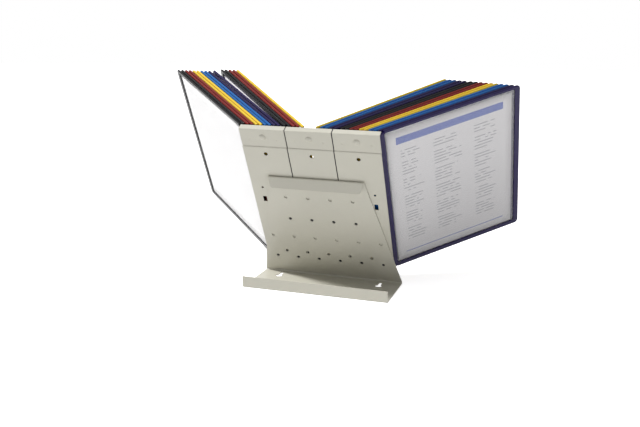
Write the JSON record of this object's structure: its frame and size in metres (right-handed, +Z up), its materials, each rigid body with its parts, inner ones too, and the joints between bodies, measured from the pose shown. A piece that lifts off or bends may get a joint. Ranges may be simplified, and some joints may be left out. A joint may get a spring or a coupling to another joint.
{
  "type": "desktop reference display stand",
  "caption": "Desktop reference display: hinged document panels in coloured frames, swinging between pivot rails behind a bent steel stand with a tray.",
  "frame": {"origin": "centre of the tray's underside, on the desk", "axes": "+Z up, -Y towards the tray's front lip and the viewer of the picture, +Y towards the reader of the panels, +X to the right in the picture"},
  "size_m": [0.647, 0.3102, 0.3868],
  "materials": {
    "painted_steel": "warm light grey powder coat, satin",
    "black_steel": "black oxide",
    "frame_black": "black, semi-gloss",
    "frame_red": "dark red, semi-gloss",
    "frame_yellow": "yellow, semi-gloss",
    "frame_blue": "blue, semi-gloss",
    "frame_violet": "dark violet, semi-gloss",
    "clear_sleeve": "clear film",
    "paper": "white paper, matte"
  },
  "bodies": {
    "base": {"stand_frame": "painted_steel", "hinge_module_left": "painted_steel", "hinge_module_middle": "painted_steel", "hinge_module_right": "painted_steel", "pivot_rail_top_left": "painted_steel", "pivot_rail_bottom_left": "painted_steel", "pivot_rail_top_middle": "painted_steel", "pivot_rail_bottom_middle": "painted_steel", "pivot_rail_top_right": "painted_steel", "pivot_rail_bottom_right": "painted_steel", "module_screw_01": "black_steel", "module_screw_02": "black_steel", "module_screw_03": "black_steel", "module_screw_04": "black_steel", "module_screw_05": "black_steel", "module_screw_06": "black_steel", "module_screw_07": "black_steel", "module_screw_08": "black_steel", "module_screw_09": "black_steel", "module_screw_10": "black_steel"},
    "panel_01": {"panel_01": "frame_black", "sleeve_01": "clear_sleeve", "sheet_01": "paper"},
    "panel_02": {"panel_02": "frame_black"},
    "panel_03": {"panel_03": "frame_red"},
    "panel_04": {"panel_04": "frame_red"},
    "panel_05": {"panel_05": "frame_yellow"},
    "panel_06": {"panel_06": "frame_yellow"},
    "panel_07": {"panel_07": "frame_blue"},
    "panel_08": {"panel_08": "frame_blue"},
    "panel_09": {"panel_09": "frame_violet"},
    "panel_10": {"panel_10": "frame_violet"},
    "panel_11": {"panel_11": "frame_black"},
    "panel_12": {"panel_12": "frame_black"},
    "panel_13": {"panel_13": "frame_red"},
    "panel_14": {"panel_14": "frame_red"},
    "panel_15": {"panel_15": "frame_yellow", "sleeve_15": "clear_sleeve", "sheet_15": "paper"},
    "panel_16": {"panel_16": "frame_yellow", "sleeve_16": "clear_sleeve", "sheet_16": "paper"},
    "panel_17": {"panel_17": "frame_blue"},
    "panel_18": {"panel_18": "frame_blue"},
    "panel_19": {"panel_19": "frame_violet"},
    "panel_20": {"panel_20": "frame_violet"},
    "panel_21": {"panel_21": "frame_black"},
    "panel_22": {"panel_22": "frame_black"},
    "panel_23": {"panel_23": "frame_red"},
    "panel_24": {"panel_24": "frame_red"},
    "panel_25": {"panel_25": "frame_yellow"},
    "panel_26": {"panel_26": "frame_yellow"},
    "panel_27": {"panel_27": "frame_blue"},
    "panel_28": {"panel_28": "frame_blue"},
    "panel_29": {"panel_29": "frame_violet"},
    "panel_30": {"panel_30": "frame_violet", "sleeve_30": "clear_sleeve", "sheet_30": "paper"}
  },
  "joints": [
    {"name": "panel_01_hinge", "type": "hinge", "parent": "base", "child": "panel_01", "pos_m": [-0.11945, -0.0189, 0.1654], "axis": [0, 0.4924, -0.8704], "range_deg": [0, 46]},
    {"name": "panel_02_hinge", "type": "hinge", "parent": "base", "child": "panel_02", "pos_m": [-0.11135, -0.0189, 0.1654], "axis": [0, 0.4924, -0.8704], "range_deg": [0, 46]},
    {"name": "panel_03_hinge", "type": "hinge", "parent": "base", "child": "panel_03", "pos_m": [-0.10325, -0.0189, 0.1654], "axis": [0, 0.4924, -0.8704], "range_deg": [0, 46]},
    {"name": "panel_04_hinge", "type": "hinge", "parent": "base", "child": "panel_04", "pos_m": [-0.09515, -0.0189, 0.1654], "axis": [0, 0.4924, -0.8704], "range_deg": [0, 46]},
    {"name": "panel_05_hinge", "type": "hinge", "parent": "base", "child": "panel_05", "pos_m": [-0.08705, -0.0189, 0.1654], "axis": [0, 0.4924, -0.8704], "range_deg": [0, 46]},
    {"name": "panel_06_hinge", "type": "hinge", "parent": "base", "child": "panel_06", "pos_m": [-0.07895, -0.0189, 0.1654], "axis": [0, 0.4924, -0.8704], "range_deg": [0, 46]},
    {"name": "panel_07_hinge", "type": "hinge", "parent": "base", "child": "panel_07", "pos_m": [-0.07085, -0.0189, 0.1654], "axis": [0, 0.4924, -0.8704], "range_deg": [0, 46]},
    {"name": "panel_08_hinge", "type": "hinge", "parent": "base", "child": "panel_08", "pos_m": [-0.06275, -0.0189, 0.1654], "axis": [0, 0.4924, -0.8704], "range_deg": [0, 46]},
    {"name": "panel_09_hinge", "type": "hinge", "parent": "base", "child": "panel_09", "pos_m": [-0.05465, -0.0189, 0.1654], "axis": [0, 0.4924, -0.8704], "range_deg": [0, 46]},
    {"name": "panel_10_hinge", "type": "hinge", "parent": "base", "child": "panel_10", "pos_m": [-0.04655, -0.0189, 0.1654], "axis": [0, 0.4924, -0.8704], "range_deg": [0, 46]},
    {"name": "panel_11_hinge", "type": "hinge", "parent": "base", "child": "panel_11", "pos_m": [-0.03645, -0.0189, 0.1654], "axis": [0, 0.4924, -0.8704], "range_deg": [0, 46]},
    {"name": "panel_12_hinge", "type": "hinge", "parent": "base", "child": "panel_12", "pos_m": [-0.02835, -0.0189, 0.1654], "axis": [0, 0.4924, -0.8704], "range_deg": [0, 46]},
    {"name": "panel_13_hinge", "type": "hinge", "parent": "base", "child": "panel_13", "pos_m": [-0.02025, -0.0189, 0.1654], "axis": [0, 0.4924, -0.8704], "range_deg": [0, 46]},
    {"name": "panel_14_hinge", "type": "hinge", "parent": "base", "child": "panel_14", "pos_m": [-0.01215, -0.0189, 0.1654], "axis": [0, 0.4924, -0.8704], "range_deg": [0, 46]},
    {"name": "panel_15_hinge", "type": "hinge", "parent": "base", "child": "panel_15", "pos_m": [-0.00405, -0.0189, 0.1654], "axis": [0, 0.4924, -0.8704], "range_deg": [0, 46]},
    {"name": "panel_16_hinge", "type": "hinge", "parent": "base", "child": "panel_16", "pos_m": [0.00405, -0.0189, 0.1654], "axis": [0, -0.4924, 0.8704], "range_deg": [0, 49]},
    {"name": "panel_17_hinge", "type": "hinge", "parent": "base", "child": "panel_17", "pos_m": [0.01215, -0.0189, 0.1654], "axis": [0, -0.4924, 0.8704], "range_deg": [0, 49]},
    {"name": "panel_18_hinge", "type": "hinge", "parent": "base", "child": "panel_18", "pos_m": [0.02025, -0.0189, 0.1654], "axis": [0, -0.4924, 0.8704], "range_deg": [0, 49]},
    {"name": "panel_19_hinge", "type": "hinge", "parent": "base", "child": "panel_19", "pos_m": [0.02835, -0.0189, 0.1654], "axis": [0, -0.4924, 0.8704], "range_deg": [0, 49]},
    {"name": "panel_20_hinge", "type": "hinge", "parent": "base", "child": "panel_20", "pos_m": [0.03645, -0.0189, 0.1654], "axis": [0, -0.4924, 0.8704], "range_deg": [0, 49]},
    {"name": "panel_21_hinge", "type": "hinge", "parent": "base", "child": "panel_21", "pos_m": [0.04655, -0.0189, 0.1654], "axis": [0, -0.4924, 0.8704], "range_deg": [0, 49]},
    {"name": "panel_22_hinge", "type": "hinge", "parent": "base", "child": "panel_22", "pos_m": [0.05465, -0.0189, 0.1654], "axis": [0, -0.4924, 0.8704], "range_deg": [0, 49]},
    {"name": "panel_23_hinge", "type": "hinge", "parent": "base", "child": "panel_23", "pos_m": [0.06275, -0.0189, 0.1654], "axis": [0, -0.4924, 0.8704], "range_deg": [0, 49]},
    {"name": "panel_24_hinge", "type": "hinge", "parent": "base", "child": "panel_24", "pos_m": [0.07085, -0.0189, 0.1654], "axis": [0, -0.4924, 0.8704], "range_deg": [0, 49]},
    {"name": "panel_25_hinge", "type": "hinge", "parent": "base", "child": "panel_25", "pos_m": [0.07895, -0.0189, 0.1654], "axis": [0, -0.4924, 0.8704], "range_deg": [0, 49]},
    {"name": "panel_26_hinge", "type": "hinge", "parent": "base", "child": "panel_26", "pos_m": [0.08705, -0.0189, 0.1654], "axis": [0, -0.4924, 0.8704], "range_deg": [0, 49]},
    {"name": "panel_27_hinge", "type": "hinge", "parent": "base", "child": "panel_27", "pos_m": [0.09515, -0.0189, 0.1654], "axis": [0, -0.4924, 0.8704], "range_deg": [0, 49]},
    {"name": "panel_28_hinge", "type": "hinge", "parent": "base", "child": "panel_28", "pos_m": [0.10325, -0.0189, 0.1654], "axis": [0, -0.4924, 0.8704], "range_deg": [0, 49]},
    {"name": "panel_29_hinge", "type": "hinge", "parent": "base", "child": "panel_29", "pos_m": [0.11135, -0.0189, 0.1654], "axis": [0, -0.4924, 0.8704], "range_deg": [0, 49]},
    {"name": "panel_30_hinge", "type": "hinge", "parent": "base", "child": "panel_30", "pos_m": [0.11945, -0.0189, 0.1654], "axis": [0, -0.4924, 0.8704], "range_deg": [0, 49]}
  ],
  "couplings": [
    {"joint": "panel_02_hinge", "follows": "panel_01_hinge", "ratio": 1},
    {"joint": "panel_03_hinge", "follows": "panel_01_hinge", "ratio": 1},
    {"joint": "panel_04_hinge", "follows": "panel_01_hinge", "ratio": 1},
    {"joint": "panel_05_hinge", "follows": "panel_01_hinge", "ratio": 1},
    {"joint": "panel_06_hinge", "follows": "panel_01_hinge", "ratio": 1},
    {"joint": "panel_07_hinge", "follows": "panel_01_hinge", "ratio": 1},
    {"joint": "panel_08_hinge", "follows": "panel_01_hinge", "ratio": 1},
    {"joint": "panel_09_hinge", "follows": "panel_01_hinge", "ratio": 1},
    {"joint": "panel_10_hinge", "follows": "panel_01_hinge", "ratio": 1},
    {"joint": "panel_11_hinge", "follows": "panel_01_hinge", "ratio": 1},
    {"joint": "panel_12_hinge", "follows": "panel_01_hinge", "ratio": 1},
    {"joint": "panel_13_hinge", "follows": "panel_01_hinge", "ratio": 1},
    {"joint": "panel_14_hinge", "follows": "panel_01_hinge", "ratio": 1},
    {"joint": "panel_15_hinge", "follows": "panel_01_hinge", "ratio": 1},
    {"joint": "panel_16_hinge", "follows": "panel_30_hinge", "ratio": 1},
    {"joint": "panel_17_hinge", "follows": "panel_30_hinge", "ratio": 1},
    {"joint": "panel_18_hinge", "follows": "panel_30_hinge", "ratio": 1},
    {"joint": "panel_19_hinge", "follows": "panel_30_hinge", "ratio": 1},
    {"joint": "panel_20_hinge", "follows": "panel_30_hinge", "ratio": 1},
    {"joint": "panel_21_hinge", "follows": "panel_30_hinge", "ratio": 1},
    {"joint": "panel_22_hinge", "follows": "panel_30_hinge", "ratio": 1},
    {"joint": "panel_23_hinge", "follows": "panel_30_hinge", "ratio": 1},
    {"joint": "panel_24_hinge", "follows": "panel_30_hinge", "ratio": 1},
    {"joint": "panel_25_hinge", "follows": "panel_30_hinge", "ratio": 1},
    {"joint": "panel_26_hinge", "follows": "panel_30_hinge", "ratio": 1},
    {"joint": "panel_27_hinge", "follows": "panel_30_hinge", "ratio": 1},
    {"joint": "panel_28_hinge", "follows": "panel_30_hinge", "ratio": 1},
    {"joint": "panel_29_hinge", "follows": "panel_30_hinge", "ratio": 1}
  ]
}
